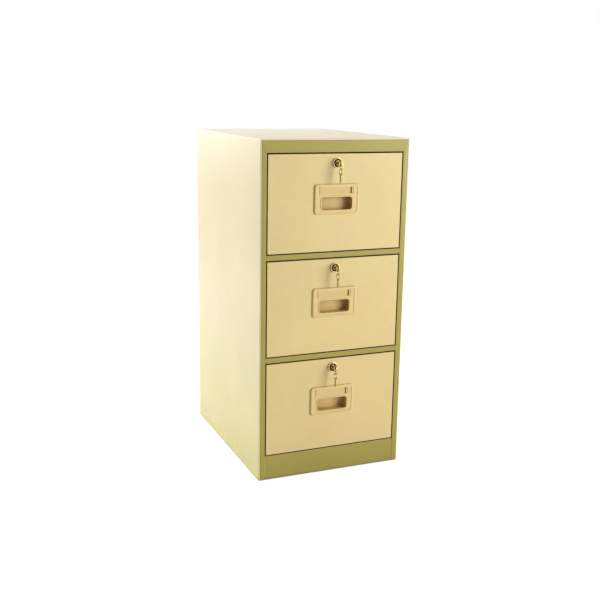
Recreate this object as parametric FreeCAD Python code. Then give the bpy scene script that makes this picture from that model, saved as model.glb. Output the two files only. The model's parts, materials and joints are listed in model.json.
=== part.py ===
import FreeCAD, Part
import math
import os

# Three-drawer steel filing cabinet, in millimetres.
# X runs across the front, Y from front to back, Z up. The drawers open towards -Y.
# The origin is at the middle of the whole object's footprint, keys included, on the floor.

V = FreeCAD.Vector
tolerance = 0.01           # for finding edges and faces by their place
shell_tolerance = 0.001

# Case
case_width = 470.0
case_depth = 622.0
case_height = 1016.0
sheet = 1.0
edge_band = 4.0            # cream edge that the wrapper shows round the front frame
edge_bend = 1.5            # inner bend radius of that edge
frame_depth = 19.0         # front frame, and drawer fronts, front to back
rear_return = 16.0
flange_width = 16.0
flange_front = 24.0        # side panel's flanges start this far behind the face
flange_rear = 12.0         # and end this far before the back
panel_bend = 1.0
panel_slip = 0.1           # play between the back panel and the side panels' bends
back_flange = 14.0
base_z = 59.0              # base panel's top
base_flange = 15.0
base_slip = 1.5            # between the front frame and the base panel
base_rail_flange = 22.0
base_rail_foot = 3.0
base_rail_inset = 4.2

# Front frame
frame_bend = 0.4
frame_lip_bend = 0.8
frame_outer_return = 14.0  # frame's outer edge goes back this far beside the wrapper
wrapper_return = 15.0
stile_lip = 11.0
rail_lip = 14.0
divider_lip = 9.5          # rear lip that a lock's cam catches
divider_slip = 0.1
mitre_gap = 0.25
wedge_over = 60.0
wedge_reach = 200.0

# Front: openings and drawers
drawer_names = ["lower", "middle", "upper"]
plinth_top = 75.3
plinth_gap = 2.0           # daylight under the plinth
plinth_recess = 0.6
plinth_seam = 0.4          # at each end of the plinth
plinth_bend = 0.6
opening_height = 290.0
divider_height = 15.8
opening_half = 215.25
front_gap = 3.0            # dark line beside and below every drawer front
front_top_gap = 3.5
front_bend = 1.2
liner_depth = 9.0          # inner front, front to back
liner_sheet = 0.8
liner_slip = 0.3
liner_hole = 18.0          # lets a socket reach the lock nut

# Drawer tray
tray_half = 201.3
tray_length = 556.0
tray_lift = 10.0           # tray's underside above the opening's lower edge
file_rail_height = 246.0   # top of the file rails above the tray's underside
file_rail_inset = 7.5
file_rail_lip = 9.0
tray_back_height = 205.0
tray_back_hem = 8.0
tray_bend = 1.5
tray_bottom_flange = 12.0  # of the sides, under the floor sheet
tray_front_flange = 14.0

# Telescopic slides: widths are measured from the upright inwards, heights from the slide's middle
slide_lift = 100.0         # slide's middle above the opening's lower edge
slide_start = 24.0         # front end behind the drawer's face
slide_length = 550.0
slide_width = 12.7
slide_half_height = 22.5
fixed_rail_sheet = 1.2
fixed_rail_reach = 11.2    # how far its lips stand out from the upright
fixed_rail_lip = 2.2
fixed_rail_bend = 1.6
middle_rail_sheet = 1.1
middle_rail_back = 2.2
middle_rail_reach = 10.8
middle_rail_half = 17.6
middle_rail_lip = 2.4
inner_rail_sheet = 1.2
inner_rail_start = 4.7
inner_rail_half = 12.6
rail_bend = 1.4
cage_sheet = 0.5
outer_cage = [1.45, 9.6, 19.7]   # back, reach and half height
inner_cage = [3.6, 9.2, 14.9]
cage_length = 260.0
cage_start = 142.0
buffer_length = 8.0
buffer_width = 9.8
buffer_half = 13.0
buffer_chamfer = 1.5
buffer_nose = 0.5
member_gap = 1.0           # between a closed member's end and the buffer
upright_inner_x = -(tray_half + slide_width)
upright_width = 36.0
upright_foot = 12.0
upright_places = [70.0, 530.0]

# Handle moulding
handle_width = 141.0
handle_height = 88.0
handle_drop = 90.0         # its top edge below the opening's upper edge
handle_proud = 5.5
handle_corner = 9.0
handle_round = 2.4
pocket_lip = 1.0
label_width = 104.0
label_height = 21.0
label_drop = 8.0           # window's top edge below the handle's top edge
label_recess = 1.2
slot_width = 8.0
slot_depth = 4.4
pocket_width = 98.0
pocket_height = 37.7
pocket_drop = 37.4
pocket_corner = 8.5
pocket_reach = 20.0        # pocket's floor behind the drawer's face
undercut_height = 12.0
undercut_start = 1.0       # thickness of the grip's edge
undercut_corner = 4.0
moulding_wall = 2.0
shell_overlap = 1.0        # how far the shell goes into the plate
slot_inset = 1.5
slot_end = 3.0
cutout_slip = 0.3

# Lock, keys and ring
lock_drop = 30.0           # lock's axis below the opening's upper edge
head_radius = 14.0
head_height = 6.0
head_chamfer = 1.6
head_dish_radius = 12.0
head_dish = 2.2
barrel_radius = 9.5
barrel_flat = 8.0          # half the width across its two flats
barrel_length = 19.8
plug_radius = 7.42
plug_bore = 7.5
plug_front = 5.2
plug_chamfer = 0.6
lock_slip = 0.1
nut_slip = 0.05
keyway_half = 1.2
keyway_rise = 4.1
keyway_spare = 1.5         # room past the key's tip
nut_half_flats = 13.0
nut_height = 4.5
cam_square = 4.0
cam_thickness = 2.4
cam_half_width = 7.0
cam_reach = 42.0
cam_gap = 0.5
cam_slip = 0.05
cam_hub = 9.0
cam_screw_radius = 5.6
cam_screw_height = 2.8
cam_screw_chamfer = 1.0
beyond = 1.0               # how far a cutter runs past what it cuts
far_off = 20.0             # half length of a cutter across the lock

key_thickness = 2.0
key_blade_rise = 3.8
key_blade_length = 18.0
key_cuts = [4.0, 7.0, 10.0, 13.0]
key_cut_depths = [1.6, 2.4, 1.2, 2.0]
key_cut_half = 1.2
key_tip = 2.0
key_shoulder_drop = 1.2
key_overlap = 3.0          # blade's root inside the bow
key_gap = 0.5
key_neck = 3.5
bow_radius = 11.0
bow_hole_radius = 3.4
bow_hole_inset = 6.4       # hole's middle from the bow's end
ring_radius = 7.5
ring_wire = 0.8            # half the thickness of its flattened wire
ring_gap = 0.5

# What stands furthest in front of the drawers is the bow of the spare key, hanging from the other key's bow.
bow_hole_reach = head_height + key_gap + key_neck + 2 * bow_radius - bow_hole_inset
key_reach = bow_hole_reach + bow_radius
front_y = (key_reach - case_depth) / 2
back_y = front_y + case_depth
half_width = case_width / 2
hem_x = half_width - edge_band
top_z = case_height - edge_band
pitch = opening_height + divider_height
rail_base = plinth_top + 3 * opening_height + 2 * divider_height
frame_rear = front_y + frame_depth
key_shoulder_y = front_y - head_height - key_gap
bow_hole_y = front_y - bow_hole_reach
ring_drop = bow_hole_radius - ring_wire - ring_gap


def opening_base(index):
    return plinth_top + index * pitch


def lock_height(index):
    return opening_base(index) + opening_height - lock_drop


def block(x0, x1, y0, y1, z0, z1):
    return Part.makeBox(x1 - x0, y1 - y0, z1 - z0, V(x0, y0, z0))


def rod(radius, y0, y1, z, x=0.0):
    return Part.makeCylinder(radius, y1 - y0, V(x, y0, z), V(0, 1, 0))


def rounded_block(x0, x1, y0, y1, z0, z1, radius):
    # A block whose four edges along Y are rounded.
    solid = block(x0, x1, y0, y1, z0, z1)
    return solid.makeFillet(radius, edges_along(solid, V(0, 1, 0)))


def edges_along(solid, direction):
    chosen = []
    for edge in solid.Edges:
        if not isinstance(edge.Curve, Part.Line):
            continue
        span = edge.Vertexes[-1].Point - edge.Vertexes[0].Point
        span.normalize()
        if abs(span.dot(direction)) > 0.999:
            chosen.append(edge)
    return chosen


def edges_at(solid, axis, place):
    # Every edge that lies in the plane where the given coordinate has one value.
    chosen = []
    for edge in solid.Edges:
        low = edge.BoundBox.XMin, edge.BoundBox.YMin, edge.BoundBox.ZMin
        high = edge.BoundBox.XMax, edge.BoundBox.YMax, edge.BoundBox.ZMax
        if abs(low[axis] - place) < tolerance and abs(high[axis] - place) < tolerance:
            chosen.append(edge)
    return chosen


def faces_at(solid, axis, place):
    chosen = []
    for face in solid.Faces:
        low = face.BoundBox.XMin, face.BoundBox.YMin, face.BoundBox.ZMin
        high = face.BoundBox.XMax, face.BoundBox.YMax, face.BoundBox.ZMax
        if abs(low[axis] - place) < tolerance and abs(high[axis] - place) < tolerance:
            chosen.append(face)
    return chosen


def mirror_x(solid):
    return solid.mirror(V(0, 0, 0), V(1, 0, 0))


def both_sides(solid):
    return [solid, mirror_x(solid)]


def turn_sign(before, after):
    return math.copysign(1.0, before[0] * after[1] - before[1] * after[0])


def leg_directions(points):
    legs = []
    for (u0, v0), (u1, v1) in zip(points, points[1:]):
        length = math.hypot(u1 - u0, v1 - v0)
        legs.append(((u1 - u0) / length, (v1 - v0) / length))
    return legs


def shifted_path(points, distance):
    # The same path moved sideways, to the left of its direction where distance is positive.
    legs = leg_directions(points)
    moved = []
    for index, (u, v) in enumerate(points):
        before = legs[max(index - 1, 0)]
        after = legs[min(index, len(legs) - 1)]
        side_u = -before[1] - after[1]
        side_v = before[0] + after[0]
        spread = 1.0 + before[0] * after[0] + before[1] * after[1]
        moved.append((u + side_u * distance / spread, v + side_v * distance / spread))
    return moved


def bent_edges(points, radii, place):
    # Straight legs joined by tangent arcs.
    legs = leg_directions(points)
    edges = []
    start = points[0]
    for index in range(1, len(points) - 1):
        before = legs[index - 1]
        after = legs[index]
        u, v = points[index]
        radius = radii[index - 1]
        if radius <= 0:
            edges.append(Part.makeLine(place(*start), place(u, v)))
            start = (u, v)
            continue
        half_turn = math.acos(before[0] * after[0] + before[1] * after[1]) / 2
        back_off = radius * math.tan(half_turn)
        enter = (u - before[0] * back_off, v - before[1] * back_off)
        leave = (u + after[0] * back_off, v + after[1] * back_off)
        inward_u = after[0] - before[0]
        inward_v = after[1] - before[1]
        inward = math.hypot(inward_u, inward_v)
        rise = radius / math.cos(half_turn) - radius
        crown = (u + inward_u / inward * rise, v + inward_v / inward * rise)
        edges.append(Part.makeLine(place(*start), place(*enter)))
        edges.append(Part.Arc(place(*enter), place(*crown), place(*leave)).toShape())
        start = leave
    edges.append(Part.makeLine(place(*start), place(*points[-1])))
    return edges


def bent_sheet(points, thickness, bends, place, sweep):
    # Sheet metal bent along a path and drawn out along sweep. The path is one face of the sheet, and the
    # thickness lies to its left, or to its right where it is negative. bends are the inner radii, and a bend
    # of 0 is a sharp corner on both faces.
    legs = leg_directions(points)
    side = math.copysign(1.0, thickness)
    near_radii = []
    far_radii = []
    for index, bend in enumerate(bends):
        turns_to_metal = turn_sign(legs[index], legs[index + 1]) == side
        outside = bend + abs(thickness) if bend > 0 else 0.0
        near_radii.append(outside if turns_to_metal else bend)
        far_radii.append(bend if turns_to_metal else outside)
    far_points = shifted_path(points, thickness)
    edges = bent_edges(points, near_radii, place)
    edges += bent_edges(far_points, far_radii, place)
    edges.append(Part.makeLine(place(*points[0]), place(*far_points[0])))
    edges.append(Part.makeLine(place(*points[-1]), place(*far_points[-1])))
    wire = Part.Wire(Part.__sortEdges__(edges))
    return Part.Face(wire).extrude(sweep)


def across(x):
    # Places (y, z) points of a section that is drawn out along X.
    return lambda y, z: V(x, y, z)


def upward(z):
    return lambda x, y: V(x, y, z)


def backward(y):
    return lambda x, z: V(x, y, z)


def slide_place(y, z_middle):
    # Places slide sections on the left-hand side: first number inwards from the upright, second up.
    return lambda inward, up: V(upright_inner_x + inward, y, z_middle + up)


def side_panel():
    path = [
        (-hem_x, front_y + wrapper_return),
        (-hem_x, front_y),
        (-half_width, front_y),
        (-half_width, back_y),
        (-half_width + rear_return, back_y),
    ]
    panel = bent_sheet(path, -sheet, [0.0, edge_bend, edge_bend], upward(0.0), V(0, 0, top_z))
    inner_x = -half_width + sheet
    near = front_y + flange_front
    far = back_y - flange_rear
    for z in (0.0, top_z - sheet):
        flange = block(inner_x, inner_x + flange_width, near, far, z, z + sheet)
        panel = panel.fuse(flange)
    return panel.removeSplitter()


def top_panel():
    lid = block(-half_width, half_width, front_y, back_y, top_z, case_height)
    outer_bend = edge_bend + sheet
    lid = lid.makeFillet(outer_bend, edges_along(lid, V(0, 0, 1)))
    lid = lid.makeFillet(outer_bend, edges_at(lid, 2, case_height))
    inner_x = half_width - sheet
    inside = block(-inner_x, inner_x, front_y + sheet, back_y - sheet, top_z, case_height - sheet)
    inside = inside.makeChamfer(edge_bend, edges_along(inside, V(0, 0, 1)))
    return lid.cut(inside.makeChamfer(edge_bend, edges_at(inside, 2, case_height - sheet)))


def back_panel():
    y = back_y - sheet
    top = top_z - sheet
    path = [(y - back_flange, top), (y, top), (y, sheet), (y - back_flange, sheet)]
    half = half_width - sheet - edge_bend - panel_slip
    return bent_sheet(path, -sheet, [panel_bend, panel_bend], across(-half), V(2 * half, 0, 0))


def base_panel():
    half = half_width - 2 * sheet
    low = base_z - base_flange
    path = [(-half, low), (-half, base_z), (half, base_z), (half, low)]
    start = frame_rear + base_slip
    length = back_y - 2 * sheet - start
    return bent_sheet(path, -sheet, [panel_bend, panel_bend], backward(start), V(0, length, 0))


def rear_base_rail():
    y = back_y - 2 * sheet
    near = y - base_rail_flange
    top = base_z - sheet
    path = [(near, top), (y, top), (y, base_rail_foot), (near, base_rail_foot)]
    half = half_width - base_rail_inset
    return bent_sheet(path, -sheet, [panel_bend, panel_bend], across(-half), V(2 * half, 0, 0))


def mitre_wedge(gap):
    # The corner block beside the top rail, bounded by the mitre from the frame's outer corner to the
    # opening's corner, on the left-hand side.
    outer = (-hem_x, top_z)
    inner = (-opening_half, rail_base)
    run = math.hypot(inner[0] - outer[0], inner[1] - outer[1])
    along = ((inner[0] - outer[0]) / run, (inner[1] - outer[1]) / run)
    side = (along[1] * gap, -along[0] * gap)
    head = (outer[0] - along[0] * wedge_over + side[0], outer[1] - along[1] * wedge_over + side[1])
    foot = (inner[0] + along[0] * wedge_over + side[0], inner[1] + along[1] * wedge_over + side[1])
    corners = [head, foot, (foot[0] - wedge_reach, foot[1]), (foot[0] - wedge_reach, head[1])]
    points = [V(x, front_y - beyond, z) for x, z in corners]
    face = Part.Face(Part.makePolygon(points + points[:1]))
    return face.extrude(V(0, frame_depth + 2 * beyond, 0))


def stile():
    path = [
        (-hem_x, front_y + frame_outer_return),
        (-hem_x, front_y),
        (-opening_half, front_y),
        (-opening_half, frame_rear),
        (-opening_half - stile_lip, frame_rear),
    ]
    bends = [frame_bend, frame_bend, frame_lip_bend]
    channel = bent_sheet(path, sheet, bends, upward(0.0), V(0, 0, top_z))
    return channel.common(stile_side(mitre_wedge(0.0)))


def stile_side(wedge):
    # The mitre bounds the stile only above the opening's corner.
    shaft = block(-half_width, -opening_half, front_y - beyond, frame_rear + beyond, 0.0, rail_base)
    return shaft.fuse(wedge)


def top_rail():
    path = [
        (front_y + frame_outer_return, top_z),
        (front_y, top_z),
        (front_y, rail_base),
        (frame_rear, rail_base),
        (frame_rear, rail_base + rail_lip),
    ]
    bends = [frame_bend, frame_bend, frame_lip_bend]
    rail = bent_sheet(path, sheet, bends, across(-hem_x), V(2 * hem_x, 0, 0))
    wedge = mitre_wedge(-mitre_gap)
    return rail.cut(wedge).cut(mirror_x(wedge))


def divider_rail(index):
    # The rail over the opening with this index. Its rear lip is what the cam of the lock below it catches.
    bottom = opening_base(index) + opening_height
    path = [
        (frame_rear, bottom + divider_lip),
        (frame_rear, bottom),
        (front_y, bottom),
        (front_y, bottom + divider_height),
        (frame_rear, bottom + divider_height),
    ]
    half = opening_half - divider_slip
    bends = [frame_lip_bend, frame_bend, frame_bend]
    return bent_sheet(path, -sheet, bends, across(-half), V(2 * half, 0, 0))


def plinth():
    face_y = front_y + plinth_recess
    path = [(frame_rear, plinth_gap), (face_y, plinth_gap), (face_y, plinth_top), (frame_rear, plinth_top)]
    half = opening_half - plinth_seam
    return bent_sheet(path, -sheet, [plinth_bend, plinth_bend], across(-half), V(2 * half, 0, 0))


def slide_uprights():
    solids = []
    wall_x = -half_width + 2 * sheet
    for place in upright_places:
        middle = front_y + place
        near = middle - upright_width / 2
        far = middle + upright_width / 2
        path = [
            (wall_x, near - upright_foot),
            (wall_x, near),
            (upright_inner_x, near),
            (upright_inner_x, far),
            (wall_x, far),
            (wall_x, far + upright_foot),
        ]
        height = top_z - 2 * sheet - base_z
        bends = [0.0, panel_bend, panel_bend, 0.0]
        hat = bent_sheet(path, sheet, bends, upward(base_z), V(0, 0, height))
        solids += both_sides(hat)
    return Part.makeCompound(solids)


def slide_channel(path, thickness, bends, start, length, index):
    z_middle = opening_base(index) + slide_lift
    place = slide_place(front_y + slide_start + start, z_middle)
    return bent_sheet(path, thickness, bends, place, V(0, length, 0))


def fixed_slide_rail(index):
    low = slide_half_height - fixed_rail_lip
    path = [
        (fixed_rail_reach, -low),
        (fixed_rail_reach, -slide_half_height),
        (0.0, -slide_half_height),
        (0.0, slide_half_height),
        (fixed_rail_reach, slide_half_height),
        (fixed_rail_reach, low),
    ]
    bends = [0.0, fixed_rail_bend, fixed_rail_bend, 0.0]
    return slide_channel(path, -fixed_rail_sheet, bends, 0.0, slide_length, index)


def middle_slide_rail(index):
    low = middle_rail_half - middle_rail_lip
    path = [
        (middle_rail_reach, -low),
        (middle_rail_reach, -middle_rail_half),
        (middle_rail_back, -middle_rail_half),
        (middle_rail_back, middle_rail_half),
        (middle_rail_reach, middle_rail_half),
        (middle_rail_reach, low),
    ]
    length = slide_length - buffer_length - member_gap
    return slide_channel(path, -middle_rail_sheet, [0.0, rail_bend, rail_bend, 0.0], 0.0, length, index)


def inner_slide_rail(index):
    path = [
        (inner_rail_start, -inner_rail_half),
        (slide_width, -inner_rail_half),
        (slide_width, inner_rail_half),
        (inner_rail_start, inner_rail_half),
    ]
    length = slide_length - buffer_length - member_gap
    return slide_channel(path, inner_rail_sheet, [rail_bend, rail_bend], 0.0, length, index)


def ball_cage(size, index):
    back, reach, half = size
    path = [(reach, -half), (back, -half), (back, half), (reach, half)]
    return slide_channel(path, -cage_sheet, [0.0, 0.0], cage_start, cage_length, index)


def outer_ball_cage(index):
    return ball_cage(outer_cage, index)


def inner_ball_cage(index):
    return ball_cage(inner_cage, index)


def drawer_buffer(index):
    z = opening_base(index) + slide_lift
    rear = front_y + slide_start + slide_length - buffer_nose
    x = upright_inner_x + fixed_rail_sheet
    pad = block(x, x + buffer_width, rear - buffer_length, rear, z - buffer_half, z + buffer_half)
    return pad.makeChamfer(buffer_chamfer, edges_at(pad, 1, rear - buffer_length))


def drawer_pan(index):
    # The drawer front: a pan of sheet, open at the back, cut out for the lock and the handle.
    half = opening_half - front_gap
    low = opening_base(index) + front_gap
    high = opening_base(index) + opening_height - front_top_gap
    pan = block(-half, half, front_y, frame_rear, low, high)
    pan = pan.makeFillet(front_bend + sheet, edges_at(pan, 1, front_y))
    pan = pan.makeThickness(faces_at(pan, 1, frame_rear), -sheet, shell_tolerance)
    z_lock = lock_height(index)
    near = front_y - beyond
    far = front_y + sheet + beyond
    flat = barrel_flat + lock_slip
    hole = rod(barrel_radius + lock_slip, near, far, z_lock)
    pan = pan.cut(hole.common(block(-flat, flat, near, far, z_lock - far_off, z_lock + far_off)))
    x, low_pocket, high_pocket = pocket_shell_size(index)
    x += cutout_slip
    return pan.cut(block(-x, x, near, far, low_pocket - cutout_slip, high_pocket + cutout_slip))


def inner_front(index):
    # Shallow pan that closes the back of the drawer front. The handle's shell stands through it.
    inset = sheet + liner_slip
    half = opening_half - front_gap - inset
    low = opening_base(index) + front_gap + inset
    high = opening_base(index) + opening_height - front_top_gap - inset
    front = frame_rear - liner_depth
    liner = block(-half, half, front, frame_rear, low, high)
    liner = liner.makeThickness(faces_at(liner, 1, front), -liner_sheet, shell_tolerance)
    near = frame_rear - 2 * beyond
    far = frame_rear + beyond
    liner = liner.cut(rod(liner_hole, near, far, lock_height(index)))
    x, shell_low, shell_high = pocket_shell_size(index)
    x += cutout_slip
    return liner.cut(block(-x, x, near, far, shell_low - cutout_slip, shell_high + cutout_slip))


def tray(index):
    # The sides' top edges step inwards and stand up as rails that the hooks of suspension files hang on.
    # Their bottom edges turn in under the floor sheet. The sheets are spot-welded, each one a solid.
    low = opening_base(index) + tray_lift
    top = low + file_rail_height
    shelf = top - file_rail_lip
    rail = tray_half - file_rail_inset
    rear = frame_rear + tray_length
    path = [
        (-rail, top),
        (-rail, shelf),
        (-tray_half, shelf),
        (-tray_half, low),
        (-tray_half + tray_bottom_flange, low),
    ]
    left = bent_sheet(path, sheet, [0.0, 0.0, tray_bend], backward(frame_rear), V(0, tray_length, 0))
    inside = tray_half - sheet
    floor_half = inside - tray_bend
    floor_top = low + 2 * sheet
    floor = block(-floor_half, floor_half, frame_rear, rear, low + sheet, floor_top)
    back_top = low + tray_back_height
    back = block(-inside, inside, rear - sheet, rear, floor_top, back_top)
    back = back.fuse(block(-inside, inside, rear - tray_back_hem, rear, back_top - sheet, back_top))
    solids = both_sides(left) + [floor, back.removeSplitter()]
    flange_top = shelf - sheet
    flange = block(-inside, tray_front_flange - inside, frame_rear, frame_rear + sheet, floor_top, flange_top)
    return Part.makeCompound(solids + both_sides(flange))


def pocket_shell_size(index):
    handle_top = opening_base(index) + opening_height - handle_drop
    pocket_top = handle_top - pocket_drop
    low = pocket_top - pocket_height - moulding_wall
    high = pocket_top + undercut_height + moulding_wall
    return pocket_width / 2 + moulding_wall, low, high


def handle(index):
    top = opening_base(index) + opening_height - handle_drop
    face = front_y - handle_proud
    half = handle_width / 2
    plate = rounded_block(-half, half, face, front_y, top - handle_height, top, handle_corner)
    plate = plate.makeFillet(handle_round, edges_at(plate, 1, face))
    x, low, high = pocket_shell_size(index)
    floor = front_y + pocket_reach
    shell_corner = undercut_corner + moulding_wall
    shell = rounded_block(-x, x, front_y - shell_overlap, floor + moulding_wall, low, high, shell_corner)
    body = plate.fuse(shell)
    near = face - beyond
    half_pocket = pocket_width / 2
    pocket_top = top - pocket_drop
    pocket_low = pocket_top - pocket_height
    mouth = rounded_block(-half_pocket, half_pocket, near, floor, pocket_low, pocket_top, pocket_corner)
    start = front_y + undercut_start
    foot = pocket_low + pocket_corner
    lift = pocket_top + undercut_height
    undercut = rounded_block(-half_pocket, half_pocket, start, floor, foot, lift, undercut_corner)
    body = body.cut(mouth.fuse(undercut))
    mouth_box = mouth.BoundBox
    mouth_box.enlarge(tolerance)
    lip = [edge for edge in edges_at(body, 1, face) if mouth_box.isInside(edge.BoundBox)]
    body = body.makeChamfer(pocket_lip, lip)
    half_label = label_width / 2
    label_top = top - label_drop
    label_low = label_top - label_height
    window = block(-half_label, half_label, near, face + label_recess, label_low, label_top)
    slot_left = half_label - slot_width
    slot_right = half_label - slot_end
    slot_rear = face + slot_depth
    slot = block(slot_left, slot_right, near, slot_rear, label_low + slot_inset, label_top - slot_inset)
    return body.cut(window.fuse(slot)).removeSplitter()


def lock_barrel(index):
    z = lock_height(index)
    face = front_y - head_height
    head = rod(head_radius, face, front_y, z)
    head = head.makeChamfer(head_chamfer, edges_at(head, 1, face))
    dish = rod(head_dish_radius, face - beyond, face + head_dish, z)
    rear = front_y + barrel_length
    flats = block(-barrel_flat, barrel_flat, front_y, rear, z - far_off, z + far_off)
    barrel = rod(barrel_radius, front_y, rear, z).common(flats)
    bore = rod(plug_bore, face - beyond, rear + beyond, z)
    return head.cut(dish).fuse(barrel).cut(bore).removeSplitter()


def lock_plug(index):
    z = lock_height(index)
    face = front_y - plug_front
    rear = front_y + barrel_length + cam_gap / 2
    plug = rod(plug_radius, face, rear, z)
    plug = plug.makeChamfer(plug_chamfer, edges_at(plug, 1, face))
    seat_end = front_y + barrel_length + cam_gap + cam_thickness
    seat = block(-cam_square, cam_square, rear, seat_end, z - cam_square, z + cam_square)
    keyway_end = key_shoulder_y + key_blade_length + keyway_spare
    keyway = block(-keyway_half, keyway_half, face - beyond, keyway_end, z - keyway_rise, z + keyway_rise)
    return plug.fuse(seat).cut(keyway)


def lock_nut(index):
    z = lock_height(index)
    radius = nut_half_flats / math.cos(math.pi / 6)
    start = front_y + sheet
    end = start + nut_height
    corners = []
    for step in range(7):
        angle = step * math.pi / 3
        corners.append(V(radius * math.cos(angle), start, z + radius * math.sin(angle)))
    nut = Part.Face(Part.makePolygon(corners)).extrude(V(0, nut_height, 0))
    return nut.cut(rod(barrel_radius + nut_slip, start - beyond, end + beyond, z))


def lock_cam(index):
    # At rest the cam points to the right, below the rail. A quarter turn stands it up behind the rail.
    z = lock_height(index)
    start = front_y + barrel_length + cam_gap
    end = start + cam_thickness
    hub = rod(cam_hub, start, end, z)
    tip_x = cam_reach - cam_half_width
    arm = block(0.0, tip_x, start, end, z - cam_half_width, z + cam_half_width)
    tip = rod(cam_half_width, start, end, z, tip_x)
    square = cam_square + cam_slip
    hole = block(-square, square, start - beyond, end + beyond, z - square, z + square)
    cam = hub.fuse([arm, tip]).removeSplitter().cut(hole)
    screw_end = end + cam_screw_height
    screw = rod(cam_screw_radius, end, screw_end, z)
    screw = screw.makeChamfer(cam_screw_chamfer, edges_at(screw, 1, screw_end))
    return Part.makeCompound([cam, screw])


def flat_key():
    # One key in the Y-Z plane, its shoulder at the origin and its blade along +Y, teeth down.
    tip = key_blade_length
    root = -key_neck - key_overlap
    low = -key_blade_rise
    outline = [(root, key_blade_rise), (tip - key_tip, key_blade_rise), (tip, key_blade_rise - key_tip)]
    outline += [(tip, low + key_tip / 2), (tip - key_tip / 2, low)]
    for place, depth in reversed(list(zip(key_cuts, key_cut_depths))):
        outline += [(place + key_cut_half, low), (place, low + depth), (place - key_cut_half, low)]
    outline += [(0.0, low), (0.0, low - key_shoulder_drop), (root, low - key_shoulder_drop)]
    half = key_thickness / 2
    points = [V(-half, y, z) for y, z in outline]
    blade = Part.Face(Part.makePolygon(points + points[:1])).extrude(V(key_thickness, 0, 0))
    middle = -key_neck - bow_radius
    bow = Part.makeCylinder(bow_radius, key_thickness, V(-half, middle, 0), V(1, 0, 0))
    through = V(-half - beyond, middle - bow_radius + bow_hole_inset, 0)
    hole = Part.makeCylinder(bow_hole_radius, key_thickness + 2 * beyond, through, V(1, 0, 0))
    return blade.fuse(bow).removeSplitter().cut(hole)


def key(index):
    placed = flat_key()
    placed.translate(V(0, key_shoulder_y, lock_height(index)))
    return placed


def key_ring(index):
    # Hangs in the bow's hole, square to the key. Its wire is flat on all sides.
    middle = lock_height(index) - ring_drop - ring_radius
    near = bow_hole_y - ring_wire
    far = bow_hole_y + ring_wire
    disc = rod(ring_radius + ring_wire, near, far, middle)
    return disc.cut(rod(ring_radius - ring_wire, near - beyond, far + beyond, middle))


def spare_key(index):
    # The same key, hanging blade down from the bottom of the ring.
    hole_z = lock_height(index) - 2 * ring_drop - 2 * ring_radius
    placed = flat_key()
    placed.rotate(V(0, 0, 0), V(1, 0, 0), -90)
    placed.translate(V(0, bow_hole_y, hole_z - (key_neck + 2 * bow_radius - bow_hole_inset)))
    return placed


def slide_group(make, indexes=(0, 1, 2)):
    solids = []
    for index in indexes:
        solids += both_sides(make(index))
    return Part.makeCompound(solids)


def save(name, shape):
    shape.exportStep(os.path.join("parts", name + ".step"))


def main():
    os.makedirs("parts", exist_ok=True)
    left_side = side_panel()
    left_stile = stile()
    case_parts = {
        "side_panel_left": left_side,
        "side_panel_right": mirror_x(left_side),
        "top_panel": top_panel(),
        "back_panel": back_panel(),
        "base_panel": base_panel(),
        "rear_base_rail": rear_base_rail(),
        "stile_left": left_stile,
        "stile_right": mirror_x(left_stile),
        "top_rail": top_rail(),
        "lower_divider_rail": divider_rail(0),
        "upper_divider_rail": divider_rail(1),
        "plinth": plinth(),
        "slide_uprights": slide_uprights(),
        "fixed_slide_rails": slide_group(fixed_slide_rail),
        "drawer_buffers": slide_group(drawer_buffer),
    }
    for name, shape in case_parts.items():
        save(name, shape)

    drawer_parts = {
        "front": drawer_pan,
        "inner_front": inner_front,
        "tray": tray,
        "handle": handle,
        "lock_barrel": lock_barrel,
        "lock_nut": lock_nut,
        "lock_plug": lock_plug,
        "lock_cam": lock_cam,
        "key": key,
        "key_ring": key_ring,
        "spare_key": spare_key,
    }
    slide_parts = {
        "inner_rails": inner_slide_rail,
        "middle_rails": middle_slide_rail,
        "outer_cages": outer_ball_cage,
        "inner_cages": inner_ball_cage,
    }
    for index, drawer in enumerate(drawer_names):
        for name, make in drawer_parts.items():
            save(drawer + "_" + name, make(index))
        for name, make in slide_parts.items():
            save(drawer + "_" + name, slide_group(make, [index]))


main()
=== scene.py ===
import bpy
import bmesh
import json
import math
from mathutils import Matrix, Vector


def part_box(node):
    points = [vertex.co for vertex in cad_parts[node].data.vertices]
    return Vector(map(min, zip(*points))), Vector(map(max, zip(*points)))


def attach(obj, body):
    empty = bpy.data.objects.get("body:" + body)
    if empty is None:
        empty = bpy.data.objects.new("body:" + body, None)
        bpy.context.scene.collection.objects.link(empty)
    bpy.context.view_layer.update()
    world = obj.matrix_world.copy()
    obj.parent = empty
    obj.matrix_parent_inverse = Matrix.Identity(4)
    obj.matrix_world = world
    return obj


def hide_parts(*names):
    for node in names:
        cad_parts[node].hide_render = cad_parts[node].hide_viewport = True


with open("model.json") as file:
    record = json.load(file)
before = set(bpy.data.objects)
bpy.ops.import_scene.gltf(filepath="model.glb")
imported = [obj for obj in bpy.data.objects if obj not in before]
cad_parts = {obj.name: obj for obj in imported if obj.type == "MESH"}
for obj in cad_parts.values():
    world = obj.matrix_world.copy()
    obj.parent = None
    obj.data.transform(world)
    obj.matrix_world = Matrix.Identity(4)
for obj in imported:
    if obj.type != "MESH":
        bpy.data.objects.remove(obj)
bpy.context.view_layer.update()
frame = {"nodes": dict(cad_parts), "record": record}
print("frame loaded:", len(frame["nodes"]), "nodes")

# Shapes are modelled in millimetres and scaled to metres when they are placed.
# A drawer's own zero is the middle of its face, level with the lower edge of its opening.
toMetres = 0.001
drawers = ["lower", "middle", "upper"]
frontGap = 3.0
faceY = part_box("stile_left")[0].y / toMetres
openingBase = {name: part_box(name + "_front")[0].z / toMetres - frontGap for name in drawers}
slotOfNode = {row["node"]: row["material_slot"] for row in frame["record"]["subparts"]}

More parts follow.
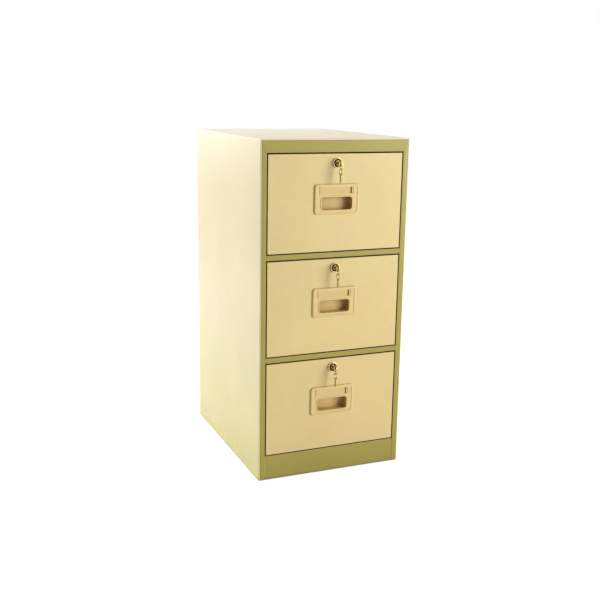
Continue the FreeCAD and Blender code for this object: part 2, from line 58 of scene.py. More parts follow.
past = 1.0                    # how far a cutter runs past what it cuts
same = 0.001                  # places nearer than this are one place
hair = 0.01                   # keeps a face off the one beside it
meshSettings = {
    "seam": 0.0005,           # merges the two ends of a turned shape
    "merge": 0.002,           # merges points that a cut leaves side by side
    "flat": 0.5,              # degrees below which a cut leaves no edge
    "sharp": 32.0,            # degrees above which an edge is shaded sharp
}


def roundEdges(bm, edges, width, segments=3):
    bmesh.ops.bevel(bm, geom=edges, offset=width, offset_type="OFFSET", segments=segments,
                    profile=0.5, affect="EDGES", clamp_overlap=True, material=-1)


def slab(low, high, corner=0.0, segments=5):
    # A block between two corners, its four edges along Y rounded.
    low, high = Vector(low), Vector(high)
    bm = bmesh.new()
    bmesh.ops.create_cube(bm, size=1.0)
    bmesh.ops.scale(bm, vec=high - low, verts=bm.verts)
    bmesh.ops.translate(bm, vec=(low + high) / 2, verts=bm.verts)
    if corner > 0:
        along = [e for e in bm.edges if abs(e.verts[0].co.y - e.verts[1].co.y) > same]
        roundEdges(bm, along, corner, segments)
    return bm


def edgesAtY(bm, y):
    return [e for e in bm.edges if all(abs(v.co.y - y) < same for v in e.verts)]


def softened(bm, width, segments=2, degrees=35.0):
    # Eases every sharp edge, as moulding, plating or paint does.
    limit = math.radians(degrees)
    sharp = [e for e in bm.edges if len(e.link_faces) == 2 and e.calc_face_angle(0.0) > limit]
    roundEdges(bm, sharp, width, segments)
    return bm


def moved(bm, x=0.0, y=0.0, z=0.0):
    bmesh.ops.translate(bm, vec=(x, y, z), verts=bm.verts)
    return bm


def rotated(bm, degrees, axis):
    turn = Matrix.Rotation(math.radians(degrees), 3, axis)
    bmesh.ops.rotate(bm, cent=(0, 0, 0), matrix=turn, verts=bm.verts)
    return bm


def turned(profile, steps=48, closed=False):
    # A profile of (radius, place along Y) points turned round the Y axis.
    bm = bmesh.new()
    chain = [bm.verts.new((radius, along, 0.0)) for radius, along in profile]
    pairs = list(zip(chain, chain[1:]))
    if closed:
        pairs.append((chain[-1], chain[0]))
    edges = [bm.edges.new(pair) for pair in pairs]
    bmesh.ops.spin(bm, geom=chain + edges, cent=(0, 0, 0), axis=(0, 1, 0), dvec=(0, 0, 0),
                   angle=math.tau, steps=steps, use_merge=True)
    bmesh.ops.remove_doubles(bm, verts=bm.verts, dist=meshSettings["seam"])
    bmesh.ops.recalc_face_normals(bm, faces=bm.faces)
    return bm


def disc(radius, y0, y1, steps=48, x=0.0, z=0.0):
    return moved(turned([(0.0, y0), (radius, y0), (radius, y1), (0.0, y1)], steps), x, 0.0, z)


def workObject(bm):
    mesh = bpy.data.meshes.new("work")
    bm.to_mesh(mesh)
    bm.free()
    work = bpy.data.objects.new("work", mesh)
    bpy.context.scene.collection.objects.link(work)
    return work


def settled(work):
    # The object's mesh with its modifiers applied, as a new bmesh.
    depsgraph = bpy.context.evaluated_depsgraph_get()
    evaluated = work.evaluated_get(depsgraph)
    bm = bmesh.new()
    bm.from_mesh(evaluated.to_mesh())
    evaluated.to_mesh_clear()
    return bm


def discard(work):
    mesh = work.data
    bpy.data.objects.remove(work)
    bpy.data.meshes.remove(mesh)


def combined(target, others, operation):
    work = workObject(target)
    tools = [workObject(other) for other in others]
    for tool in tools:
        step = work.modifiers.new("combine", "BOOLEAN")
        step.operation = operation
        step.solver = "EXACT"
        step.object = tool
    bm = settled(work)
    for used in [work] + tools:
        discard(used)
    flat = math.radians(meshSettings["flat"])
    bmesh.ops.remove_doubles(bm, verts=bm.verts, dist=meshSettings["merge"])
    bmesh.ops.dissolve_limit(bm, angle_limit=flat, verts=bm.verts, edges=bm.edges)
    return bm


def cutOut(target, *cutters):
    return combined(target, cutters, "DIFFERENCE")


def fused(target, *others):
    return combined(target, others, "UNION")


def gathered(*meshes):
    # One bmesh from several that stay apart in it.
    whole = bmesh.new()
    for bm in meshes:
        mesh = bpy.data.meshes.new("part")
        bm.to_mesh(mesh)
        bm.free()
        whole.from_mesh(mesh)
        bpy.data.meshes.remove(mesh)
    return whole


def place(name, shape, finish, body, replaced, at, evened):
    # Scales a shape to metres, puts it where it belongs and hangs it on its body.
    bm = shape.copy()
    limit = math.radians(meshSettings["sharp"])
    for face in bm.faces:
        face.smooth = True
    for edge in bm.edges:
        edge.smooth = len(edge.link_faces) == 2 and edge.calc_face_angle(0.0) < limit
    bmesh.ops.translate(bm, vec=at, verts=bm.verts)
    bmesh.ops.scale(bm, vec=(toMetres,) * 3, verts=bm.verts)
    mesh = bpy.data.meshes.new(name)
    bm.to_mesh(mesh)
    bm.free()
    for one in finish if isinstance(finish, list) else [finish]:
        mesh.materials.append(one)
    piece = bpy.data.objects.new(name, mesh)
    bpy.context.scene.collection.objects.link(piece)
    if evened:
        normals = piece.modifiers.new("even shading", "WEIGHTED_NORMAL")
        normals.mode = "FACE_AREA"
        normals.keep_sharp = True
    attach(piece, body)
    if replaced:
        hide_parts(*replaced)


def addNode(tree, kind, inputs=None, **properties):
    made = tree.nodes.new("ShaderNode" + kind)
    for key, value in properties.items():
        setattr(made, key, value)
    for key, value in (inputs or {}).items():
        if isinstance(value, bpy.types.NodeSocket):
            tree.links.new(value, made.inputs[key])
        else:
            made.inputs[key].default_value = value
    return made


def newFinish(name):
    material = bpy.data.materials.new(name)
    material.use_nodes = True
    tree = material.node_tree
    tree.nodes.clear()
    shader = addNode(tree, "BsdfPrincipled")
    addNode(tree, "OutputMaterial", {"Surface": shader.outputs["BSDF"]})
    coords = addNode(tree, "TexCoord").outputs["Object"]
    return material, tree, shader, coords


def noiseOf(tree, coords, scale, detail=3.0, roughness=0.5, stretch=None):
    if stretch:
        coords = addNode(tree, "Mapping", {"Vector": coords, "Scale": stretch}).outputs["Vector"]
    inputs = {"Vector": coords, "Scale": scale, "Detail": detail, "Roughness": roughness}
    return addNode(tree, "TexNoise", inputs).outputs["Fac"]


def spread(tree, value, taken, given=(0.0, 1.0)):
    # Maps the range taken to the range given.
    inputs = {"Value": value, "From Min": taken[0], "From Max": taken[1],
              "To Min": given[0], "To Max": given[1]}
    return addNode(tree, "MapRange", inputs).outputs["Result"]


def calculate(tree, operation, first, second=0.0):
    return addNode(tree, "Math", {0: first, 1: second}, operation=operation).outputs["Value"]


def blendColours(tree, share, first, second, mode="MIX"):
    made = addNode(tree, "Mix", data_type="RGBA", blend_type=mode)
    for socket, value in ((made.inputs[0], share), (made.inputs[6], first), (made.inputs[7], second)):
        if isinstance(value, bpy.types.NodeSocket):
            tree.links.new(value, socket)
        else:
            socket.default_value = value
    return made.outputs[2]


def shade(colour, factor=1.0):
    return tuple(min(1.0, part * factor) for part in colour) + (1.0,)


def bumpOf(tree, height, distance, strength=1.0, under=None):
    inputs = {"Height": height, "Distance": distance, "Strength": strength}
    if under:
        inputs["Normal"] = under
    return addNode(tree, "Bump", inputs).outputs["Normal"]


def splitVector(tree, vector):
    return addNode(tree, "SeparateXYZ", {"Vector": vector}).outputs


def surfaceNormal(tree):
    return addNode(tree, "NewGeometry").outputs["Normal"]


def openness(tree, reach, samples=8):
    # 1 in the open and less where something stands within reach.
    return addNode(tree, "AmbientOcclusion", {"Distance": reach}, samples=samples).outputs["AO"]


def edgeMask(tree, radius, agreeing):
    # Where the surface turns over an edge: the bevelled normal leaves the real one.
    bevelled = addNode(tree, "Bevel", {"Radius": radius}, samples=4).outputs["Normal"]
    vectors = {0: bevelled, 1: surfaceNormal(tree)}
    agreement = addNode(tree, "VectorMath", vectors, operation="DOT_PRODUCT").outputs["Value"]
    return spread(tree, agreement, agreeing, (1.0, 0.0))


weldSettings = {
    "pitch": 0.092,           # metres from weld to weld
    "inset": 0.222,           # rows of welds beside the back panel's edges
    "radius": 0.0042,
    "flat": 0.55,             # share of the radius that is level
    "depth": 0.00035,
    "facing": (0.7, 0.9),
}


def spotWelds(tree, coords, under):
    # Rows of shallow round dents in faces that look to the rear.
    s = weldSettings
    parts = splitVector(tree, coords)
    across = calculate(tree, "SUBTRACT", calculate(tree, "ABSOLUTE", parts["X"]), s["inset"])
    along = calculate(tree, "SUBTRACT", calculate(tree, "MODULO", parts["Z"], s["pitch"]), s["pitch"] / 2)
    offset = addNode(tree, "CombineXYZ", {"X": across, "Y": along}).outputs["Vector"]
    distance = addNode(tree, "VectorMath", {0: offset}, operation="LENGTH").outputs["Value"]
    dent = spread(tree, distance, (s["radius"] * s["flat"], s["radius"]), (1.0, 0.0))
    rearward = spread(tree, splitVector(tree, surfaceNormal(tree))["Y"], s["facing"])
    dent = calculate(tree, "MULTIPLY", dent, rearward)
    return bumpOf(tree, calculate(tree, "SUBTRACT", 1.0, dent), s["depth"], 1.0, under)


# A noise is given by its scale, detail and roughness. A pair named a range or a facing is the part of a
# pattern that runs from none to all, and any other pair is what comes out at its two ends.
enamelSettings = {
    "patches": (4.5, 4.0, 0.55),
    "patchRange": (0.3, 0.7),
    "clouds": (38.0, 3.0, 0.6),
    "mottle": 0.035,          # how far the colour wanders, broad patches
    "speck": (0.985, 0.98, 0.97),
    "softRange": (0.35, 0.65),
    "streaks": (3.0, 4.0, 0.6),
    "streakStretch": (30.0, 30.0, 1.2),
    "streakRange": (0.55, 0.75),
    "streakAmount": 0.05,
    "streakTone": 0.82,
    "grimeHeight": 0.11,
    "grimeRange": (0.4, 0.7),
    "grimeAmount": (0.05, 0.40),
    "grimeTone": 0.70,
    "lowShadeHeight": 0.55,        # height up to which the colour is painted darker and yellower: painted shade towards the floor
    "dustFacing": (0.80, 0.98),
    "dustAmount": 0.45,
    "dustPatches": (0.6, 1.0),
    "dustColour": (0.90, 0.86, 0.80),
    "edgeRadius": 0.0014,
    "edgeRange": (0.80, 0.985),
    "edgeAmount": 0.55,       # how much of the painted edge tone shows
    "edgeHighlightTone": 1.18,         # edges paler: partly thin paint, partly a painted highlight
    "gapReach": 0.010,        # gaps narrower than this get painted shade
    "gapRange": (0.24, 0.60),
    "gapShadeColour": (0.020, 0.008, 0.0),
    "chips": (95.0, 4.0, 0.65),
    "chipRange": (0.62, 0.66),
    "chipColour": (0.23, 0.21, 0.17),
    "roughness": (0.34, 0.46),
    "peel": (620.0, 2.0, 0.4),
    "peelDepth": 0.00003,
    "peelStrength": 0.8,
    "waves": (14.0, 2.0),
    "waveDepth": 0.0006,
    "waveStrength": 0.5,
    "specular": 0.36,
    "coat": 0.04,
    "coatRoughness": 0.22,
}


def enamelPaint(name, colour, lowShadeTint=(0.975, 0.97, 1.0), edgeShadeColour=None, welded=False):
    # Stoved enamel on sheet steel. The third argument is the tint the colour is multiplied by at the floor,
    # fading out with height: painted shade, darker towards the bottom.
    s = enamelSettings
    material, tree, shader, coords = newFinish(name)
    patches = noiseOf(tree, coords, *s["patches"])
    clouds = noiseOf(tree, coords, *s["clouds"])
    tone = blendColours(tree, spread(tree, patches, s["patchRange"]),
                        shade(colour, 1.0 - s["mottle"]), shade(colour, 1.0 + s["mottle"]))
    speck = blendColours(tree, spread(tree, clouds, s["softRange"]), shade(s["speck"]), (1.0, 1.0, 1.0, 1.0))
    tone = blendColours(tree, 1.0, tone, speck, "MULTIPLY")
    # Streaks left by wiping, along Z
    streaks = noiseOf(tree, coords, *s["streaks"], stretch=s["streakStretch"])
    tone = blendColours(tree, spread(tree, streaks, s["streakRange"], (0.0, s["streakAmount"])),
                        tone, shade(colour, s["streakTone"]))
    # Grime low down, where feet and mops reach
    height = splitVector(tree, coords)["Z"]
    low = spread(tree, height, (0.0, s["grimeHeight"]), (1.0, 0.0))
    grime = calculate(tree, "MULTIPLY", low, spread(tree, clouds, s["grimeRange"], s["grimeAmount"]))
    tone = blendColours(tree, grime, tone, shade(colour, s["grimeTone"]))
    # Painted shade: the colour is multiplied darker and yellower towards the floor
    lowShade = spread(tree, height, (0.0, s["lowShadeHeight"]), (1.0, 0.0))
    tone = blendColours(tree, lowShade, tone, shade(lowShadeTint), "MULTIPLY")
    # Dust lies on what faces up
    up = splitVector(tree, surfaceNormal(tree))["Z"]
    dust = calculate(tree, "MULTIPLY", spread(tree, up, s["dustFacing"], (0.0, s["dustAmount"])),
                     spread(tree, patches, s["softRange"], s["dustPatches"]))
    tone = blendColours(tree, dust, tone, shade(s["dustColour"]))
    # Painted edge tone: by default paler, partly thin paint and partly a painted highlight; with a dark edge
    # colour given, painted shade that widens the gap lines
    edge = edgeMask(tree, s["edgeRadius"], s["edgeRange"])
    paintedEdgeTone = shade(edgeShadeColour) if edgeShadeColour else shade(colour, s["edgeHighlightTone"])
    tone = blendColours(tree, calculate(tree, "MULTIPLY", edge, s["edgeAmount"]), tone, paintedEdgeTone)
    # Painted shade: narrow gaps are darkened by occlusion, where shade falls
    paintedShade = spread(tree, openness(tree, s["gapReach"]), s["gapRange"], (1.0, 0.0))
    tone = blendColours(tree, paintedShade, tone, shade(s["gapShadeColour"]))
    chipped = spread(tree, noiseOf(tree, coords, *s["chips"]), s["chipRange"])
    tone = blendColours(tree, calculate(tree, "MULTIPLY", edge, chipped), tone, shade(s["chipColour"]))
    tree.links.new(tone, shader.inputs["Base Color"])
    rough = calculate(tree, "MAXIMUM", spread(tree, clouds, s["patchRange"], s["roughness"]), paintedShade)
    tree.links.new(rough, shader.inputs["Roughness"])
    waves = bumpOf(tree, noiseOf(tree, coords, *s["waves"]), s["waveDepth"], s["waveStrength"])
    if welded:
        waves = spotWelds(tree, coords, waves)
    peel = bumpOf(tree, noiseOf(tree, coords, *s["peel"]), s["peelDepth"], s["peelStrength"], waves)
    tree.links.new(peel, shader.inputs["Normal"])
    shader.inputs["Specular IOR Level"].default_value = s["specular"]
    shader.inputs["Coat Weight"].default_value = s["coat"]
    shader.inputs["Coat Roughness"].default_value = s["coatRoughness"]
    return material


mouldedSettings = {
    "flow": (26.0, 3.0, 0.55),
    "flowStretch": (1.0, 1.0, 2.4),
    "flowRange": (0.3, 0.7),
    "mottle": 0.03,
    "hollowReach": 0.045,
    "hollowRange": (0.12, 0.85),
    "hollowShadeAmount": 0.92,
    "hollowShadeColour": (0.35, 0.18, 0.015),
    "rubRadius": 0.0009,
    "rubRange": (0.80, 0.98),
    "rubAmount": 0.35,
    "rubTone": 1.22,
    "roughness": (0.36, 0.50),
    "grain": (1500.0, 2.0),
    "grainDepth": 0.00002,
    "grainStrength": 0.7,
    "specular": 0.5,
}


def mouldedPlastic(name, colour):
    s = mouldedSettings
    material, tree, shader, coords = newFinish(name)
    flow = noiseOf(tree, coords, *s["flow"], stretch=s["flowStretch"])
    tone = blendColours(tree, spread(tree, flow, s["flowRange"]),
                        shade(colour, 1.0 - s["mottle"]), shade(colour, 1.0 + s["mottle"]))
    # Painted shade: the pocket and other hollows darken by occlusion, where shade falls
    paintedShade = spread(tree, openness(tree, s["hollowReach"]), s["hollowRange"], (s["hollowShadeAmount"], 0.0))
    tone = blendColours(tree, paintedShade, tone, shade(s["hollowShadeColour"]))
    rubbed = calculate(tree, "MULTIPLY", edgeMask(tree, s["rubRadius"], s["rubRange"]), s["rubAmount"])
    tone = blendColours(tree, rubbed, tone, shade(colour, s["rubTone"]))
    tree.links.new(tone, shader.inputs["Base Color"])
    tree.links.new(spread(tree, flow, s["flowRange"], s["roughness"]), shader.inputs["Roughness"])
    grain = bumpOf(tree, noiseOf(tree, coords, *s["grain"]), s["grainDepth"], s["grainStrength"])
    tree.links.new(grain, shader.inputs["Normal"])
    shader.inputs["Specular IOR Level"].default_value = s["specular"]
    return material


platedSettings = {
    "clouds": (90.0, 4.0, 0.6),
    "cloudRange": (0.35, 0.7),
    "cloudTones": (1.05, 0.88),
    "hollowReach": 0.004,
    "hollowRange": (0.2, 0.8),
    "tarnish": 0.35,
    "tarnishTone": 0.30,
    "scratchDetail": 5.0,
    "scratchRoughness": 0.7,
    "scratchRange": (0.3, 0.7),
    "scratchDepth": 0.00001,
    "scratchStrength": 0.6,
}


def platedMetal(name, colour, roughness, edgeTint=(1.0, 1.0, 1.0), scratchScale=160.0, stretch=None):
    # Chrome, nickel or bright zinc on metal, with fine scratches and a little tarnish in the hollows.
    s = platedSettings
    material, tree, shader, coords = newFinish(name)
    clouds = noiseOf(tree, coords, *s["clouds"])
    tone = blendColours(tree, spread(tree, clouds, s["cloudRange"]),
                        shade(colour, s["cloudTones"][0]), shade(colour, s["cloudTones"][1]))
    tarnish = spread(tree, openness(tree, s["hollowReach"], 6), s["hollowRange"], (s["tarnish"], 0.0))
    tone = blendColours(tree, tarnish, tone, shade(colour, s["tarnishTone"]))
    tree.links.new(tone, shader.inputs["Base Color"])
    scratches = noiseOf(tree, coords, scratchScale, s["scratchDetail"], s["scratchRoughness"], stretch)
    tree.links.new(spread(tree, scratches, s["scratchRange"], roughness), shader.inputs["Roughness"])
    tree.links.new(bumpOf(tree, scratches, s["scratchDepth"], s["scratchStrength"]), shader.inputs["Normal"])
    shader.inputs["Metallic"].default_value = 1.0
    shader.inputs["Specular Tint"].default_value = shade(edgeTint)
    return material


rubberSettings = {
    "grain": (700.0, 4.0, 0.6),
    "grainRange": (0.3, 0.7),
    "grainDepth": 0.00008,
    "grainStrength": 0.8,
    "bloom": (60.0, 3.0),
    "bloomRange": (0.4, 0.7),
    "bloomAmount": 0.35,
    "bloomColour": (0.09, 0.088, 0.085),
    "roughness": (0.70, 0.88),
}


def rubberFinish(name, colour):
    s = rubberSettings
    material, tree, shader, coords = newFinish(name)
    bloom = spread(tree, noiseOf(tree, coords, *s["bloom"]), s["bloomRange"], (0.0, s["bloomAmount"]))
    tone = blendColours(tree, bloom, shade(colour), shade(s["bloomColour"]))
    tree.links.new(tone, shader.inputs["Base Color"])
    grain = noiseOf(tree, coords, *s["grain"])
    tree.links.new(spread(tree, grain, s["grainRange"], s["roughness"]), shader.inputs["Roughness"])
    tree.links.new(bumpOf(tree, grain, s["grainDepth"], s["grainStrength"]), shader.inputs["Normal"])
    return material


cardSettings = {
    "fibres": (900.0, 5.0, 0.7),
    "fibreStretch": (0.25, 1.0, 1.0),
    "fibreRange": (0.3, 0.7),
    "fibreTones": (0.95, 1.02),
    "fibreDepth": 0.00002,
    "fibreStrength": 0.6,
    "age": (45.0, 3.0, 0.5),
    "ageRange": (0.5, 0.8),
    "ageAmount": 0.25,
    "ageTone": 0.86,
    "roughness": (0.75, 0.92),
}


def cardFinish(name, colour):
    s = cardSettings
    material, tree, shader, coords = newFinish(name)
    fibres = noiseOf(tree, coords, *s["fibres"], stretch=s["fibreStretch"])
    tone = blendColours(tree, spread(tree, fibres, s["fibreRange"]),
                        shade(colour, s["fibreTones"][0]), shade(colour, s["fibreTones"][1]))
    age = spread(tree, noiseOf(tree, coords, *s["age"]), s["ageRange"], (0.0, s["ageAmount"]))
    tone = blendColours(tree, age, tone, shade(colour, s["ageTone"]))
    tree.links.new(tone, shader.inputs["Base Color"])
    tree.links.new(spread(tree, fibres, s["fibreRange"], s["roughness"]), shader.inputs["Roughness"])
    tree.links.new(bumpOf(tree, fibres, s["fibreDepth"], s["fibreStrength"]), shader.inputs["Normal"])
    return material


# The drawers' cream is set darker than the case's cream: partly painted shade, the fronts standing in for
# less light than the lit side
drawerCreamWithShade = (0.735, 0.595, 0.280)
finishes = {
    "case_paint": enamelPaint("case enamel", (0.80, 0.71, 0.47), (0.90, 0.935, 0.64), welded=True),
    "frame_paint": enamelPaint("frame enamel", (0.375, 0.315, 0.068)),
    "drawer_paint": enamelPaint("drawer enamel", drawerCreamWithShade),
    "handle_plastic": mouldedPlastic("handle plastic", (0.727, 0.560, 0.241)),
    # Warm chrome: the tint is partly a painted reflection of the cream surroundings
    "lock_chrome": platedMetal("lock chrome", (0.74, 0.62, 0.40), (0.26, 0.38), (0.95, 0.84, 0.62)),
    "lock_steel": platedMetal("lock steel", (0.45, 0.44, 0.41), (0.30, 0.48)),
    "key_nickel": platedMetal("key nickel", (0.42, 0.355, 0.14), (0.26, 0.42)),
    "slide_zinc": platedMetal("slide zinc", (0.55, 0.56, 0.56), (0.24, 0.42), scratchScale=60.0,
                              stretch=(6.0, 0.35, 6.0)),
    "buffer_rubber": rubberFinish("buffer rubber", (0.03, 0.03, 0.03)),
}
# Painted shade: the front pan's edges are darkened to dark brown, widening the dark gap lines round the
# fronts
frontEnamel = enamelPaint("front enamel", drawerCreamWithShade, edgeShadeColour=(0.200, 0.130, 0.010))
# Painted shade: the lock's sunk well and deep keyway get a near-black finish standing in for their shadow and
# dark reflections
paintedWellShade = platedMetal("painted well shade", (0.030, 0.016, 0.001), (0.50, 0.65), (0.40, 0.24, 0.03))
# The plug's face is darker and warmer than the chrome: partly a painted reflection of the dark and cream
# surroundings
reflectionTintedFace = platedMetal("lock face", (0.34, 0.25, 0.10), (0.26, 0.42), (0.8, 0.6, 0.3))
ballSteel = platedMetal("ball steel", (0.66, 0.66, 0.65), (0.08, 0.16))
cardPaper = cardFinish("label card", (0.735, 0.545, 0.252))
print("finishes made:", len(bpy.data.materials))


nodeSettings = {
    "joinDistance": 0.000002,
    "creaseAngle": 28.0,
}


def dressNode(name, node):
    node.data.materials.clear()
    node.data.materials.append(finishes[slotOfNode[name]])
    for polygon in node.data.polygons:
        polygon.use_smooth = True
    joinUp = node.modifiers.new("join up", "WELD")
    joinUp.merge_threshold = nodeSettings["joinDistance"]
    creases = node.modifiers.new("creases", "EDGE_SPLIT")
    creases.split_angle = math.radians(nodeSettings["creaseAngle"])
    creases.use_edge_sharp = False


for nodeName, nodeObject in frame["nodes"].items():
    dressNode(nodeName, nodeObject)
print("nodes dressed")


def twoFlats(half, y0, y1, reach, z=0.0):
    # A pair of blocks that cut a round shape down to two flats.
    right = slab((half, y0, z - reach), (reach, y1, z + reach))
    left = slab((-reach, y0, z - reach), (-half, y1, z + reach))
    return [right, left]


frontShape = {
    "half": 212.0,
    "low": 3.2,
    "high": 286.25,
    "depth": 19.0,
    "sheet": 1.0,
    "bend": 2.2,
    "corner": 1.2,
    "lockHole": 9.6,
    "lockFlat": 8.1,
    "handleHole": (51.3, 122.6, 176.9),    # half width, lower and upper edge
    "cut": (-2.0, 4.0),                    # both holes' cutters along Y
    "cutReach": 20.0,
}


def drawerFront(lockZ):
    s = frontShape
    pan = slab((-s["half"], 0.0, s["low"]), (s["half"], s["depth"], s["high"]), s["corner"], 3)
    roundEdges(pan, edgesAtY(pan, 0.0), s["bend"], 5)
    rear = [f for f in pan.faces if f.calc_center_median().y > s["depth"] - same]
    bmesh.ops.delete(pan, geom=rear, context="FACES")
    work = workObject(pan)
    wall = work.modifiers.new("sheet", "SOLIDIFY")
    wall.thickness = s["sheet"]
    wall.offset = -1.0
    wall.use_even_offset = True
    pan = settled(work)
    discard(work)
    front, behind = s["cut"]
    flats = twoFlats(s["lockFlat"], front - past, behind + past, s["cutReach"], lockZ)
    hole = cutOut(disc(s["lockHole"], front, behind, z=lockZ), *flats)
    halfHole, holeLow, holeHigh = s["handleHole"]
    window = slab((-halfHole, front, holeLow), (halfHole, behind, holeHigh))
    return cutOut(pan, hole, window)


handleShape = {
    "width": 141.0,
    "height": 88.0,
    "top": 200.0,
    "proud": 5.5,
    "corner": 9.0,
    "round": 4.0,
    "rim": 5.6,              # raised border round the sunk field
    "fieldDepth": 1.2,
    "fieldCorner": 7.0,
    "bead": 2.6,             # raised bead round pocket and window
    "beadRoot": 3.0,         # its block ends this far behind the plate's face
    "pocketHalf": 49.0,
    "pocketLow": 124.9,
    "pocketHigh": 162.6,
    "pocketCorner": 8.5,
    "pocketBeadCorner": 10.5,
    "pocketDepth": 20.0,
    "undercutFront": 1.0,    # behind the drawer's face
    "undercutTop": 174.6,
    "undercutCorner": 4.0,
    "wall": 2.0,
    "wallOverlap": 1.0,      # how far the pocket's wall goes into the plate
    "windowHalf": 52.0,
    "windowLow": 171.0,
    "windowHigh": 192.0,
    "windowDepth": 1.2,
    "windowCorner": 1.0,
    "windowBeadCorner": 2.5,
    "slotLeft": 42.2,
    "slotRight": 47.4,
    "slotInset": 1.2,
    "slotDepth": 5.3,
    "slotCorner": 0.8,
    "lipHeight": 1.3,        # lips that hold the card's long edges
    "lipOver": 0.3,
    "lipFront": 0.15,
    "lipThickness": 0.5,
    "lipEnd": 1.0,           # before the slot
    "lipEdge": 0.2,
    "edge": 0.55,
}


def handleMoulding():
    s = handleShape
    half = s["width"] / 2
    face = -s["proud"]
    bottom = s["top"] - s["height"]
    pocket, wall, rim, bead = s["pocketHalf"], s["wall"], s["rim"], s["bead"]
    plate = slab((-half, face, bottom), (half, 0.0, s["top"]), s["corner"], 6)
    roundEdges(plate, edgesAtY(plate, face), s["round"], 5)
    shell = slab((-pocket - wall, -s["wallOverlap"], s["pocketLow"] - wall),
                 (pocket + wall, s["pocketDepth"] + wall, s["undercutTop"] + wall),
                 s["undercutCorner"] + wall, 4)
    body = fused(plate, shell)
    mouth = slab((-pocket, face - past, s["pocketLow"]),
                 (pocket, s["pocketDepth"], s["pocketHigh"]), s["pocketCorner"], 6)
    undercut = slab((-pocket, s["undercutFront"], s["pocketLow"] + s["pocketCorner"]),
                    (pocket, s["pocketDepth"], s["undercutTop"]), s["undercutCorner"], 4)
    # The sunk field stops at the beads round pocket and window
    field = slab((-half + rim, face - past, bottom + rim),
                 (half - rim, face + s["fieldDepth"], s["top"] - rim), s["fieldCorner"], 5)
    root = face + s["beadRoot"]
    pocketBead = slab((-pocket - bead, face - 2 * past, s["pocketLow"] - bead),
                      (pocket + bead, root, s["pocketHigh"] + bead), s["pocketBeadCorner"], 6)
    windowBead = slab((-s["windowHalf"] - bead, face - 2 * past, s["windowLow"] - bead),
                      (s["windowHalf"] + bead, root, s["windowHigh"] + bead), s["windowBeadCorner"], 4)
    field = cutOut(field, pocketBead, windowBead)
    window = slab((-s["windowHalf"], face - past, s["windowLow"]),
                  (s["windowHalf"], face + s["windowDepth"], s["windowHigh"]), s["windowCorner"], 3)
    slot = slab((s["slotLeft"], face - past, s["windowLow"] + s["slotInset"]),
                (s["slotRight"], face + s["slotDepth"], s["windowHigh"] - s["slotInset"]), s["slotCorner"], 3)
    body = cutOut(body, fused(mouth, undercut), field, window, slot)
    softened(body, s["edge"], 3, 40.0)
    front, over, height = face + s["lipFront"], s["lipOver"], s["lipHeight"]
    lips = []
    for low in (s["windowLow"] - over, s["windowHigh"] - height + over):
        lip = slab((-s["windowHalf"] - over, front, low),
                   (s["slotLeft"] - s["lipEnd"], front + s["lipThickness"], low + height))
        lips.append(softened(lip, s["lipEdge"]))
    return gathered(body, *lips)


cardShape = {
    "inset": 0.6,
    "thickness": 0.33,
    "play": 0.02,
    "margin": 0.4,
    "beforeSlot": 0.2,
    "corner": 0.8,
    "cuts": 12,
    "wave": (0.06, 0.11, 0.6),    # how far it bends, radians per millimetre, start
}


def labelCard():
    s, c = handleShape, cardShape
    back = -s["proud"] + s["windowDepth"] - c["play"]
    card = slab((-s["windowHalf"] + c["inset"], back - c["thickness"], s["windowLow"] + c["margin"]),
                (s["slotLeft"] - c["beforeSlot"], back, s["windowHigh"] - c["margin"]), c["corner"], 3)
    long = [e for e in card.edges if abs(e.verts[0].co.x - e.verts[1].co.x) > s["windowHalf"]]
    bmesh.ops.subdivide_edges(card, edges=long, cuts=c["cuts"], use_grid_fill=True)
    # A card in a holder is never quite flat
    bend, rate, start = c["wave"]
    for vert in card.verts:
        if vert.co.y < back - c["thickness"] / 2:
            vert.co.y -= bend * (1.0 + math.sin(vert.co.x * rate + start))
    return card


lockShape = {
    "drop": 260.0,            # axis above the opening's lower edge
    "headRadius": 14.0,
    "headHeight": 6.0,
    "headFoot": (0.35, 0.25),    # chamfer at the head's foot: along the axis and inwards
    "wellRadius": 12.4,
    "wellDepth": 2.2,
    "wellFillet": 0.4,
    "wellMouth": [(0.0, 0.35), (0.15, 0.1), (0.45, 0.0)],    # outwards, behind the face
    "shoulder": 1.1,
    "slip": 0.05,             # play between parts that fit into each other
    "bore": 7.5,
    "boreEase": 0.3,
    "barrelRadius": 9.5,
    "barrelRelief": 0.3,
    "barrelFlat": 8.0,
    "barrelCut": 30.0,        # reach of the cutters for the flats
    "barrelLength": 19.8,
    "barrelEnd": 0.5,
    "threadStart": 3.0,
    "threadEnd": 1.2,
    "threadPitch": 1.0,
    "threadDepth": 0.45,
    "plugRadius": 7.42,
    "plugFront": 5.2,
    "plugRear": 20.05,
    "plugDish": [(0.0, 0.25), (5.0, 0.2), (6.0, 0.0)],          # radius, behind the face
    "plugEdge": [(0.45, 0.0), (0.12, 0.15), (0.0, 0.5)],        # inwards, behind the face
    "seatEnd": 22.7,
    "seatHalf": 4.0,
    "seatEase": 0.5,
    "keywayHalf": 1.2,
    "keywayRise": 4.1,
    "keywayEnd": 13.0,
    "keywayCorner": 0.3,
    "keywayLit": 0.4,         # its first part keeps the face's finish, deeper in it gets the painted well shade
    "ward": (0.7, 0.7, 1.5),  # reach into the keyway, lower and upper edge
    "nutHalf": 13.0,
    "nutStart": 1.0,
    "nutHeight": 4.5,
    "nutEase": (0.4, 1.0),    # corners: inwards and along the axis
    "nutMouth": (0.6, 0.5),   # bore's ends: outwards and along the axis
    "camStart": 20.3,
    "camThickness": 2.4,
    "camHub": 9.0,
    "camHalf": 7.0,
    "camReach": 42.0,
    "camEdge": 0.28,
    "screwRadius": 5.6,
    "screwHeight": 2.8,
}


